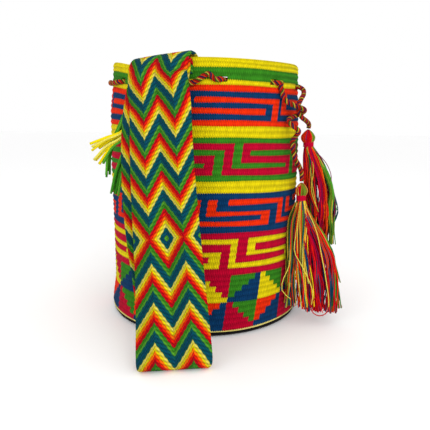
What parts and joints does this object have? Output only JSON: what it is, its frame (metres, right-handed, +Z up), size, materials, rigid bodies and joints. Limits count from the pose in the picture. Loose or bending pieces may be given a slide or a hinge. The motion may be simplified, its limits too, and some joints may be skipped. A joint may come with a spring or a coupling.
{
  "type": "wayuu mochila bag",
  "caption": "Crocheted bucket shoulder bag with a woven strap, a drawcord laced through eyelets and two yarn tassels.",
  "frame": {"origin": "centre of the round base, on the surface that the bag stands on", "axes": "+Z up through the mouth, -Y towards the side that the strap hangs on, +X towards the tassels"},
  "size_m": [0.3095, 0.3473, 0.3285],
  "materials": {
    "crochet": "tight cotton crochet in bands of yellow, green, orange, blue and magenta",
    "woven_band": "thick cotton band with chevrons of twisted cords",
    "braided_cord": "round cotton cord twisted from red, yellow, green and blue strands",
    "tassel_yarn": "loose cut yarn in many colours",
    "sewing_yarn": "magenta cotton yarn",
    "fringe_yarn": "loose green, yellow and blue warp ends"
  },
  "bodies": {
    "bag": {"bag_body": "crochet", "shoulder_strap": "woven_band", "front_strap_stitching": "sewing_yarn", "back_strap_stitching": "sewing_yarn", "front_strap_fringe": "fringe_yarn", "back_strap_fringe": "fringe_yarn", "drawcord": "braided_cord"},
    "upper_tassel": {"upper_tassel": "tassel_yarn", "upper_tassel_binding": "sewing_yarn"},
    "lower_tassel": {"lower_tassel": "tassel_yarn", "lower_tassel_binding": "sewing_yarn"}
  },
  "joints": [
    {"name": "upper_tassel_swing", "type": "hinge", "parent": "bag", "child": "upper_tassel", "pos_m": [0.1335, -0.0488, 0.248], "axis": [0, -1, 0], "range_deg": [0, 50]},
    {"name": "lower_tassel_swing", "type": "hinge", "parent": "bag", "child": "lower_tassel", "pos_m": [0.1248, -0.066, 0.182], "axis": [-0.9539, -0.3, 0], "range_deg": [0, 50]}
  ]
}
